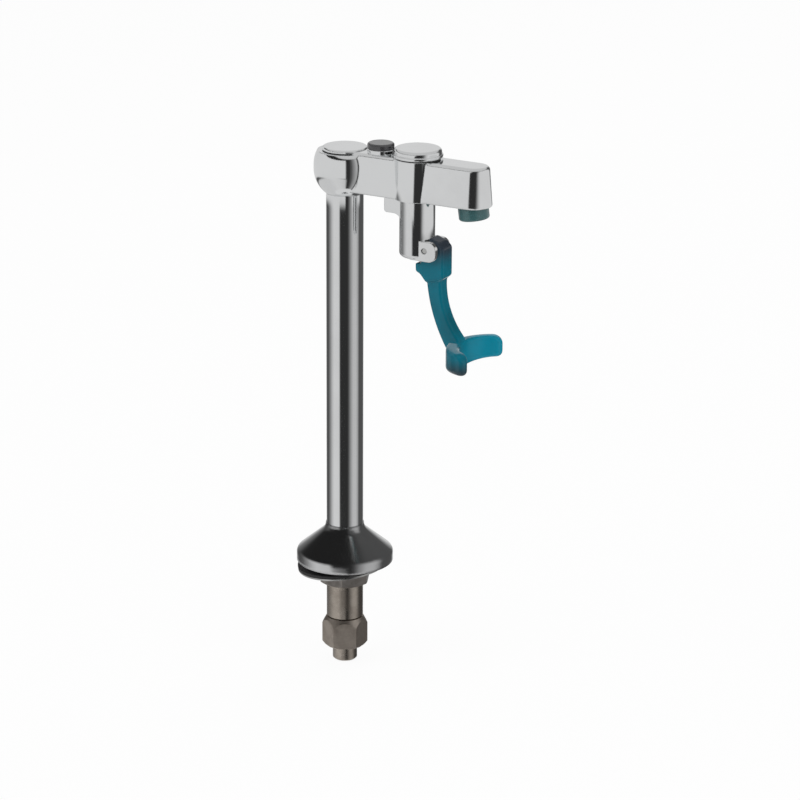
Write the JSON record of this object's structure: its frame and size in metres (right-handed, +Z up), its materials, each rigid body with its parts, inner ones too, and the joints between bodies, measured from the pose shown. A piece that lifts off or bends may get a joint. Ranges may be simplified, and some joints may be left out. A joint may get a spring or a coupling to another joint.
{
  "type": "push-back glass filler tap",
  "caption": "Deck-mounted pedestal tap with a straight column, a level arm with a downward nozzle and a push-back lever that a glass opens.",
  "frame": {"origin": "centre of the column on the deck surface, the lower face of the flange rim", "axes": "+Z up along the column, +X from the column along the arm to the outlet"},
  "size_m": [0.1439, 0.067, 0.3762],
  "materials": {
    "chrome_plate": "polished chrome plating",
    "raw_brass": "unplated, dull grey-brown brass",
    "stainless": "plain stainless steel",
    "black_rubber": "matt black rubber",
    "teal_plastic": "glossy teal moulding",
    "dark_plastic": "dark grey moulding with a slight teal cast"
  },
  "bodies": {
    "tap": {"clamp_washer": "stainless", "closing_spring": "stainless", "column_tube": "chrome_plate", "deck_flange": "chrome_plate", "flow_straightener": "dark_plastic", "guide_seal": "black_rubber", "head_cap": "chrome_plate", "head_gasket": "black_rubber", "inlet_strainer": "stainless", "lever_pin": "stainless", "lock_nut": "raw_brass", "mounting_shank": "raw_brass", "nozzle_seal": "black_rubber", "outlet_nozzle": "dark_plastic", "regulator_bush": "chrome_plate", "regulator_seal": "black_rubber", "seal_retainer": "raw_brass", "seal_washer": "black_rubber", "stem_guide": "raw_brass", "stem_seals": "black_rubber", "tail_piece": "raw_brass", "union_nut": "raw_brass", "union_washer": "black_rubber", "valve_body": "chrome_plate", "valve_cap": "chrome_plate", "valve_cap_gasket": "black_rubber", "valve_seat": "raw_brass"},
    "lever": {"lever": "teal_plastic"},
    "stem": {"stem": "raw_brass", "seat_washer": "black_rubber", "poppet": "raw_brass", "poppet_nut": "raw_brass"},
    "regulator": {"regulator_spindle": "raw_brass", "regulator_cap": "dark_plastic"}
  },
  "joints": [
    {"name": "lever_hinge", "type": "hinge", "parent": "tap", "child": "lever", "pos_m": [0.0665, 0, 0.234], "axis": [0, 1, 0], "range_deg": [0, 15], "stiffness_Nm_per_rad": 0.17, "springref_deg": -34.38},
    {"name": "stem_slide", "type": "slide", "parent": "tap", "child": "stem", "axis": [0, 0, 1], "range_m": [0, 0.0028], "deforming": ["closing_spring"]},
    {"name": "regulator_turn", "type": "hinge", "parent": "tap", "child": "regulator", "pos_m": [0.0277, 0, 0.29], "axis": [0, 0, 1], "range_deg": [0, 90]}
  ],
  "couplings": [
    {"joint": "stem_slide", "follows": "lever_hinge", "m_per_rad": 0.010578}
  ]
}
